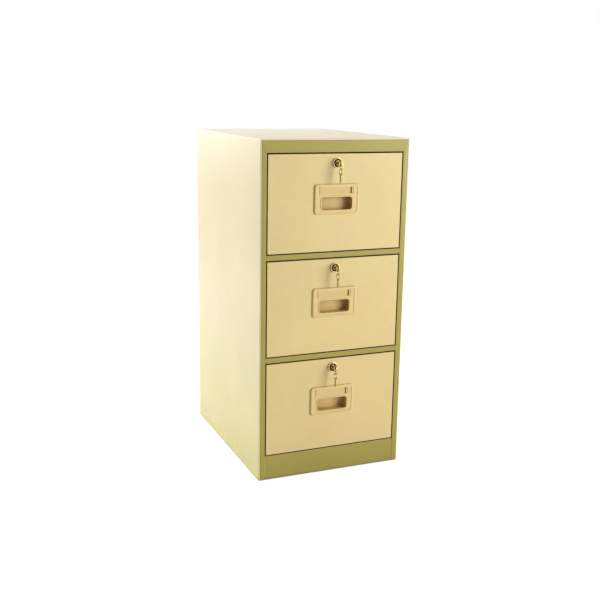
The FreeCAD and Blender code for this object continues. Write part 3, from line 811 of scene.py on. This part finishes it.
def lockBarrel():
    s = lockShape
    face = -s["headHeight"]
    floor = face + s["wellDepth"]
    bore, ease = s["bore"], s["boreEase"]
    well, fillet = s["wellRadius"], s["wellFillet"]
    profile = [(bore, s["barrelLength"]), (bore, floor + ease), (bore + ease, floor),
               (well - fillet, floor), (well, floor - fillet)]
    profile += [(well + outwards, face + behind) for outwards, behind in s["wellMouth"]]
    # Rolled shoulder from the face to the rim
    outer, shoulder = s["headRadius"], s["shoulder"]
    steps = 6
    for step in range(steps + 1):
        angle = math.pi / 2 * step / steps
        profile.append((outer - shoulder + shoulder * math.sin(angle),
                        face + shoulder - shoulder * math.cos(angle)))
    foot, inwards = s["headFoot"]
    barrel = s["barrelRadius"]
    profile += [(outer, -foot), (outer - inwards, 0.0), (barrel - s["barrelRelief"], 0.0)]
    along = s["threadStart"]
    while along < s["barrelLength"] - s["threadEnd"]:
        profile.append((barrel, along))
        profile.append((barrel - s["threadDepth"], along + s["threadPitch"] / 2))
        along += s["threadPitch"]
    profile.append((barrel - s["barrelEnd"], s["barrelLength"]))
    flats = twoFlats(s["barrelFlat"], s["slip"], s["barrelCut"], s["barrelCut"])
    whole = cutOut(turned(profile, 64, closed=True), *flats)
    # The sunk ring between rim and plug gets the dark painted well shade
    for side in whole.faces:
        centre = side.calc_center_median()
        sunk = math.hypot(centre.x, centre.z) < well + 10 * hair and centre.y < 0
        side.material_index = 1 if sunk else 0
    return whole


def lockPlug():
    s = lockShape
    face = -s["plugFront"]
    rear, end = s["plugRear"], s["keywayEnd"]
    radius, half, rise = s["plugRadius"], s["keywayHalf"], s["keywayRise"]
    profile = [(out, face + behind) for out, behind in s["plugDish"]]
    profile += [(radius - inwards, face + behind) for inwards, behind in s["plugEdge"]]
    profile += [(radius, rear), (0.0, rear)]
    seat, ease = s["seatHalf"], s["seatEase"]
    plug = fused(turned(profile, 64), slab((-seat, rear - ease, -seat), (seat, s["seatEnd"], seat), ease, 2))
    keyway = slab((-half, face - past, -rise), (half, end, rise), s["keywayCorner"], 2)
    reach, low, high = s["ward"]
    ward = slab((half - reach, face - 1.5 * past, low), (half + past / 2, end + past, high))
    plug = cutOut(plug, cutOut(keyway, ward))
    # Deeper in the keyway the faces get the painted well shade
    for side in plug.faces:
        centre = side.calc_center_median()
        inside = abs(centre.x) < half + hair and abs(centre.z) < rise + hair
        deep = face + s["keywayLit"] < centre.y < end + 10 * hair
        side.material_index = 1 if inside and deep else 2
    return plug


def lockNut():
    s = lockShape
    start, half, barrel = s["nutStart"], s["nutHalf"], s["barrelRadius"]
    end = start + s["nutHeight"]
    corner = half / math.cos(math.pi / 6)
    nut = bmesh.new()
    bmesh.ops.create_cone(nut, cap_ends=True, cap_tris=False, segments=6, radius1=corner, radius2=corner,
                          depth=s["nutHeight"])
    rotated(nut, 90, "X")
    rotated(nut, 90, "Y")
    moved(nut, 0.0, (start + end) / 2, 0.0)
    # Corners eased by turning, front and back
    inwards, ease = s["nutEase"]
    inner, outer = half - inwards, corner + s["slip"]
    dome = turned([(0.0, start - hair), (inner, start - hair), (outer, start + ease),
                   (outer, end - ease), (inner, end + hair), (0.0, end + hair)], 72)
    nut = combined(nut, [dome], "INTERSECT")
    outwards, deep = s["nutMouth"]
    thread, mouth = barrel + s["slip"], barrel + outwards
    bore = turned([(0.0, start - past), (mouth, start - past), (thread, start + deep),
                   (thread, end - deep), (mouth, end + past), (0.0, end + past)])
    return cutOut(nut, bore)


screwHead = {
    # shares of the head's radius and height
    "profile": [(0.0, 1.0), (0.55, 0.97), (0.82, 0.80), (0.96, 0.48), (1.0, 0.2), (0.97, 0.0), (0.0, 0.0)],
    "wide": 0.58,
    "thin": 0.13,
    "floor": 0.42,
}


def crossHeadScrew(radius, height):
    # Pan head on the plane y = 0, its recess towards +Y.
    s = screwHead
    head = turned([(radius * outwards, height * along) for outwards, along in s["profile"]], 28)
    wide, thin = radius * s["wide"], radius * s["thin"]
    floor, top = height * s["floor"], height + past
    level = slab((-wide, floor, -thin), (wide, top, thin))
    upright = slab((-thin, floor, -wide), (thin, top, wide))
    return cutOut(head, level, upright)


def lockCam():
    s = lockShape
    start, half = s["camStart"], s["camHalf"]
    end = start + s["camThickness"]
    tip = s["camReach"] - half
    arm = slab((0.0, start, -half), (tip, end, half))
    plate = fused(disc(s["camHub"], start, end, 40), arm, disc(half, start, end, 40, x=tip))
    hole = s["seatHalf"] + s["slip"]
    plate = cutOut(plate, slab((-hole, start - past, -hole), (hole, end + past, hole)))
    softened(plate, s["camEdge"], 2, 50.0)
    screw = moved(crossHeadScrew(s["screwRadius"], s["screwHeight"]), 0.0, end, 0.0)
    return gathered(plate, screw)


keyShape = {
    "shoulder": -6.5,         # key's shoulder, from the drawer's face
    "shoulderDrop": 1.2,
    "thickness": 2.0,
    "rise": 3.8,
    "blade": 18.0,
    "tip": 2.0,
    "heel": (1.5, 1.0),       # back from the tip and up
    "cuts": [(4.0, 1.6), (7.0, 2.4), (10.0, 1.2), (13.0, 2.0)],
    "cutHalf": 1.2,
    "cutFloor": 0.2,
    "neck": 3.5,
    "overlap": 3.0,           # blade's root inside the bow
    "bow": 11.0,
    "hole": 7.2,
    "holeInset": 10.2,        # hole's middle from the bow's end
    "inset": 6.4,             # from the bow's end to the point that the ring hangs round
    "grooveDepth": 0.45,
    "grooves": [(0.2, 1.7), (-1.2, 0.0)],    # lower and upper edge, right and left face
    "bowEdge": [(0.45, 0.0), (0.1, 0.2), (0.0, 0.55)],    # inwards from the rim, in from a face
    "edge": 0.22,
}


def flatKey():
    # Its shoulder at the origin, its blade along +Y, teeth down.
    s = keyShape
    half, rise, length, tip = s["thickness"] / 2, s["rise"], s["blade"], s["tip"]
    root = -s["neck"] - s["overlap"]
    back, up = s["heel"]
    outline = [(root, rise), (length - tip, rise), (length, rise - tip), (length, up - rise),
               (length - back, -rise)]
    for along, depth in reversed(s["cuts"]):
        outline += [(along + s["cutHalf"], -rise), (along + s["cutFloor"], depth - rise),
                    (along - s["cutFloor"], depth - rise), (along - s["cutHalf"], -rise)]
    outline += [(0.0, -rise), (0.0, -rise - s["shoulderDrop"]), (root, -rise - s["shoulderDrop"])]
    blade = bmesh.new()
    face = blade.faces.new([blade.verts.new((-half, y, z)) for y, z in outline])
    grown = bmesh.ops.extrude_face_region(blade, geom=[face])["geom"]
    farSide = [v for v in grown if isinstance(v, bmesh.types.BMVert)]
    bmesh.ops.translate(blade, vec=(s["thickness"], 0, 0), verts=farSide)
    bmesh.ops.recalc_face_normals(blade, faces=blade.faces)
    web = half - s["grooveDepth"]
    (rightLow, rightHigh), (leftLow, leftHigh) = s["grooves"]
    right = slab((web, -2 * past, rightLow), (half + past, length + past, rightHigh))
    left = slab((-half - past, -2 * past, leftLow), (-web, length + past, leftHigh))
    blade = cutOut(blade, right, left)
    radius = s["bow"]
    near = [(radius - inwards, -half + deep) for inwards, deep in s["bowEdge"]]
    far = [(radius - inwards, half - deep) for inwards, deep in reversed(s["bowEdge"])]
    bow = turned([(0.0, -half)] + near + far + [(0.0, half)], 64)
    moved(rotated(bow, 90, "Z"), 0.0, -s["neck"] - radius, 0.0)
    hole = rotated(disc(s["hole"], -half - past, half + past), 90, "Z")
    moved(hole, 0.0, -s["neck"] - 2 * radius + s["holeInset"], 0.0)
    return softened(cutOut(fused(blade, bow), hole), s["edge"], 2, 50.0)


ringShape = {
    "drop": 2.1,
    "radius": 7.5,
    "wire": 0.8,
    "slit": 0.02,             # half the gap between the two turns
    "turn": 338.0,            # degrees of each turn before it steps across
    "step": 44.0,
    "facet": 7.5,             # degrees
    "fewestFacets": 6,
    "edge": 0.14,
}


def splitRing():
    # Two flat turns of wire side by side, with one short step from the first to the second.
    s = ringShape
    wire, slit = s["wire"], s["slit"]
    inner, outer = s["radius"] - wire, s["radius"] + wire
    ring = bmesh.new()
    section = [(inner, -wire), (outer, -wire), (outer, -slit), (inner, -slit)]
    corners = [ring.verts.new((x, y, 0.0)) for x, y in section]
    start = ring.faces.new(corners)
    geometry = [start] + list(start.edges) + corners
    for degrees, shift in ((s["turn"], 0.0), (s["step"], wire + slit), (s["turn"], 0.0)):
        steps = max(s["fewestFacets"], int(degrees / s["facet"]))
        spun = bmesh.ops.spin(ring, geom=geometry, cent=(0, 0, 0), axis=(0, -1, 0),
                              dvec=(0, shift / steps, 0), angle=math.radians(degrees), steps=steps,
                              use_merge=False)
        geometry = spun["geom_last"]
    bmesh.ops.recalc_face_normals(ring, faces=ring.faces)
    return softened(ring, s["edge"], 2, 60.0)


def hangingKey(key):
    # The same key, blade down, its bow's hole round the bottom of the ring.
    s, r = keyShape, ringShape
    holeAbove = s["neck"] + 2 * s["bow"] - s["inset"]
    return moved(rotated(key.copy(), -90, "X"), 0.0, 0.0, -2 * r["drop"] - 2 * r["radius"] - holeAbove)


slideShape = {
    "lift": 100.0,
    "start": 24.0,
    "wallX": 214.0,
    "cageStart": 142.0,
    "cageLength": 260.0,
    "cageEnd": 8.0,                  # from a cage's end to its first ball
    "balls": 14,
    "outer": (5.6, 19.45, 1.75),     # inwards from the upright, above the middle, ball radius
    "inner": (6.6, 14.55, 1.80),
}


def ballRow(inward, up, radius):
    s = slideShape
    balls = bmesh.new()
    first = s["start"] + s["cageStart"] + s["cageEnd"]
    pitch = (s["cageLength"] - 2 * s["cageEnd"]) / (s["balls"] - 1)
    for side in (-1, 1):
        for height in (-up, up):
            for index in range(s["balls"]):
                spot = (side * (s["wallX"] - inward), first + index * pitch, s["lift"] + height)
                where = Matrix.Translation(spot)
                bmesh.ops.create_icosphere(balls, subdivisions=2, radius=radius, matrix=where)
    return balls


screwPlaces = {
    "along": [44.0, 190.0, 350.0, 500.0],
    "inside": 200.3,
    "radius": 4.2,
    "height": 1.9,
}


def trayScrews():
    # Pan heads inside the tray that hold the drawer members.
    s = screwPlaces
    head = crossHeadScrew(s["radius"], s["height"])
    rows = []
    for side in (-1, 1):
        for along in s["along"]:
            one = rotated(head.copy(), 90 * side, "Z")
            rows.append(moved(one, side * s["inside"], along, slideShape["lift"]))
    head.free()
    return gathered(*rows)


ribShape = {
    "along": [120.0, 250.0, 380.0, 510.0],
    "half": 165.0,
    "halfWidth": 5.0,
    "low": 11.9,
    "high": 12.8,
    "round": 0.85,
}


def trayRibs():
    # Shallow ribs pressed up in the tray's floor.
    s = ribShape
    half, wide = s["half"], s["halfWidth"]
    rows = []
    for along in s["along"]:
        rib = slab((-half, along - wide, s["low"]), (half, along + wide, s["high"]))
        top = [e for e in rib.edges if all(v.co.z > s["high"] - same for v in e.verts)]
        roundEdges(rib, top, s["round"], 4)
        rows.append(rib)
    return gathered(*rows)


print("shaping the drawer pieces")
lockZ = lockShape["drop"]
shapes = {
    "front": drawerFront(lockZ),
    "handle": handleMoulding(),
    "card": labelCard(),
    "barrel": lockBarrel(),
    "plug": lockPlug(),
    "nut": lockNut(),
    "cam": lockCam(),
    "key": flatKey(),
    "ring": splitRing(),
    "outerBalls": ballRow(*slideShape["outer"]),
    "innerBalls": ballRow(*slideShape["inner"]),
    "trayScrews": trayScrews(),
    "trayRibs": trayRibs(),
}
shapes["spare"] = hangingKey(shapes["key"])
bowHole = keyShape["shoulder"] - keyShape["neck"] - 2 * keyShape["bow"] + keyShape["inset"]
lockParts = [finishes["lock_chrome"], paintedWellShade, reflectionTintedFace]
plastic = finishes["handle_plastic"]
steel = finishes["lock_steel"]
nickel = finishes["key_nickel"]
paint = finishes["drawer_paint"]

for drawer in drawers:
    base = openingBase[drawer]
    zero = (0.0, faceY, base)
    axis = (0.0, faceY, base + lockZ)
    keySpot = (0.0, faceY + keyShape["shoulder"], base + lockZ)
    ringSpot = (0.0, faceY + bowHole, base + lockZ - ringShape["drop"] - ringShape["radius"])
    spareSpot = (0.0, faceY + bowHole, base + lockZ)
    # piece: shape, finish, body, slot, node that it replaces, place, whether its shading is evened
    pieces = {
        "front_pan": ("front", frontEnamel, "drawer", "drawer_paint", "front", zero, True),
        "handle_moulding": ("handle", plastic, "drawer", "handle_plastic", "handle", zero, True),
        "label_card": ("card", cardPaper, "drawer", None, None, zero, False),
        "lock_head": ("barrel", lockParts, "drawer", "lock_chrome", "lock_barrel", axis, True),
        "lock_nut_hex": ("nut", steel, "drawer", "lock_steel", "lock_nut", axis, False),
        "lock_cylinder": ("plug", lockParts, "lock", "lock_chrome", "lock_plug", axis, True),
        "lock_arm": ("cam", steel, "lock", "lock_steel", "lock_cam", axis, True),
        "key_in_lock": ("key", nickel, "inserted_key", "key_nickel", "key", keySpot, True),
        "split_ring": ("ring", nickel, "ring", "key_nickel", "key_ring", ringSpot, False),
        "key_on_ring": ("spare", nickel, "hanging_key", "key_nickel", "spare_key", spareSpot, True),
        "outer_balls": ("outerBalls", ballSteel, "slide_outer_cages", "slide_zinc", None, zero, False),
        "inner_balls": ("innerBalls", ballSteel, "slide_inner_cages", "slide_zinc", None, zero, False),
        "tray_screws": ("trayScrews", steel, "drawer", "lock_steel", None, zero, False),
        "tray_ribs": ("trayRibs", paint, "drawer", "drawer_paint", None, zero, False),
    }
    for piece, (shape, finish, body, slot, node, spot, evened) in pieces.items():
        replaced = [drawer + "_" + node] if node else []
        place(drawer + "_" + piece, shapes[shape], finish, drawer + "_" + body, replaced, spot, evened)
    print("drawer dressed:", drawer)
for shape in shapes.values():
    shape.free()


stageSettings = {
    "floorSize": 14.0,
    "floorColour": (0.80, 0.79, 0.77),
    "floorPatches": (2.5, 3.0),
    "patchRange": (0.3, 0.7),
    "patchTones": (0.985, 1.0),
    "floorLift": 0.80,        # added where the camera or a reflection looks at the floor
    "contactReach": 0.02,     # right beside the object the floor's glow fades: a painted contact shadow
    "contactRange": (0.35, 0.70),
    "ambient": 0.26,
    "ambientColour": (1.0, 0.985, 0.96),
    "white": (1.0, 1.0, 1.0, 1.0),
}


def seenDirectly(tree):
    # 1 for camera, glossy and transmission rays.
    path = addNode(tree, "LightPath")
    shiny = calculate(tree, "MAXIMUM", path.outputs["Is Glossy Ray"], path.outputs["Is Transmission Ray"])
    return calculate(tree, "MAXIMUM", path.outputs["Is Camera Ray"], shiny)


def makeFloor():
    s = stageSettings
    bm = bmesh.new()
    bmesh.ops.create_grid(bm, x_segments=8, y_segments=8, size=s["floorSize"] / 2)
    mesh = bpy.data.meshes.new("studio_floor")
    bm.to_mesh(mesh)
    bm.free()
    floor = bpy.data.objects.new("studio_floor", mesh)
    bpy.context.scene.collection.objects.link(floor)
    material = bpy.data.materials.new("studio floor")
    material.use_nodes = True
    tree = material.node_tree
    tree.nodes.clear()
    coords = addNode(tree, "TexCoord").outputs["Object"]
    patches = spread(tree, noiseOf(tree, coords, *s["floorPatches"]), s["patchRange"], s["patchTones"])
    tone = blendColours(tree, 1.0, shade(s["floorColour"]), patches, "MULTIPLY")
    matt = addNode(tree, "BsdfDiffuse", {"Color": tone})
    # Painted contact shadow: the glow fades where the object occludes the floor
    lift = spread(tree, openness(tree, s["contactReach"]), s["contactRange"], (0.0, s["floorLift"]))
    lift = calculate(tree, "MULTIPLY", lift, seenDirectly(tree))
    glow = addNode(tree, "Emission", {"Color": s["white"], "Strength": lift})
    both = addNode(tree, "AddShader", {0: matt.outputs[0], 1: glow.outputs[0]})
    addNode(tree, "OutputMaterial", {"Surface": both.outputs[0]})
    mesh.materials.append(material)


def makeWorld():
    s = stageSettings
    world = bpy.data.worlds.new("studio")
    bpy.context.scene.world = world
    world.use_nodes = True
    tree = world.node_tree
    tree.nodes.clear()
    soft = addNode(tree, "Background", {"Color": shade(s["ambientColour"]), "Strength": s["ambient"]})
    white = addNode(tree, "Background", {"Color": s["white"], "Strength": 1.0})
    mix = addNode(tree, "MixShader", {0: seenDirectly(tree), 1: soft.outputs[0], 2: white.outputs[0]})
    addNode(tree, "OutputWorld", {"Surface": mix.outputs[0]})


lamps = {
    # name: (place, aimed at, power in watts, width and height in metres, colour)
    "key": ((3.5, -3.9, 1.5), (0.0, -0.3, 0.55), 212.0, (2.6, 2.5), (1.0, 0.98, 0.94)),
    "left": ((-4.2, 1.2, 2.0), (0.0, 0.0, 0.65), 96.0, (1.6, 1.6), (1.0, 0.99, 0.97)),
    "rear": ((-1.4, 3.1, 1.5), (0.0, 0.0, 0.6), 40.0, (1.4, 1.2), (1.0, 0.99, 0.97)),
    "top": ((0.2, 0.9, 3.4), (0.0, 0.0, 1.0), 32.0, (1.6, 1.6), (1.0, 0.98, 0.96)),
}


def makeLamps():
    for name, (spot, aim, power, (width, height), colour) in lamps.items():
        data = bpy.data.lights.new("lamp_" + name, "AREA")
        data.shape = "RECTANGLE"
        data.energy = power
        data.size = width
        data.size_y = height
        data.color = colour
        lamp = bpy.data.objects.new("lamp_" + name, data)
        lamp.location = spot
        lamp.rotation_euler = (Vector(aim) - Vector(spot)).to_track_quat("-Z", "Y").to_euler()
        bpy.context.scene.collection.objects.link(lamp)


cameraSettings = {
    "azimuth": -22.78,
    "elevation": 13.11,
    "roll": 0.93,
    "place": (-1.106, -2.6667, 1.150),
    "lens": 54.198,
    "sensor": 36.0,
}


def makeCamera():
    s = cameraSettings
    azimuth, elevation, roll = (math.radians(s[key]) for key in ("azimuth", "elevation", "roll"))
    level = math.cos(elevation)
    back = Vector((math.sin(azimuth) * level, -math.cos(azimuth) * level, math.sin(elevation)))
    right = Vector((math.cos(azimuth), math.sin(azimuth), 0.0))
    up = back.cross(right)
    turnedRight = math.cos(roll) * right + math.sin(roll) * up
    turnedUp = -math.sin(roll) * right + math.cos(roll) * up
    data = bpy.data.cameras.new("photo_camera")
    data.lens = s["lens"]
    data.sensor_width = s["sensor"]
    camera = bpy.data.objects.new("photo_camera", data)
    facing = Matrix((turnedRight, turnedUp, back)).transposed().to_4x4()
    camera.matrix_world = Matrix.Translation(s["place"]) @ facing
    bpy.context.scene.collection.objects.link(camera)
    bpy.context.scene.camera = camera


makeFloor()
makeWorld()
makeLamps()
makeCamera()
bpy.context.scene.view_settings.view_transform = "Standard"
print("stage set")
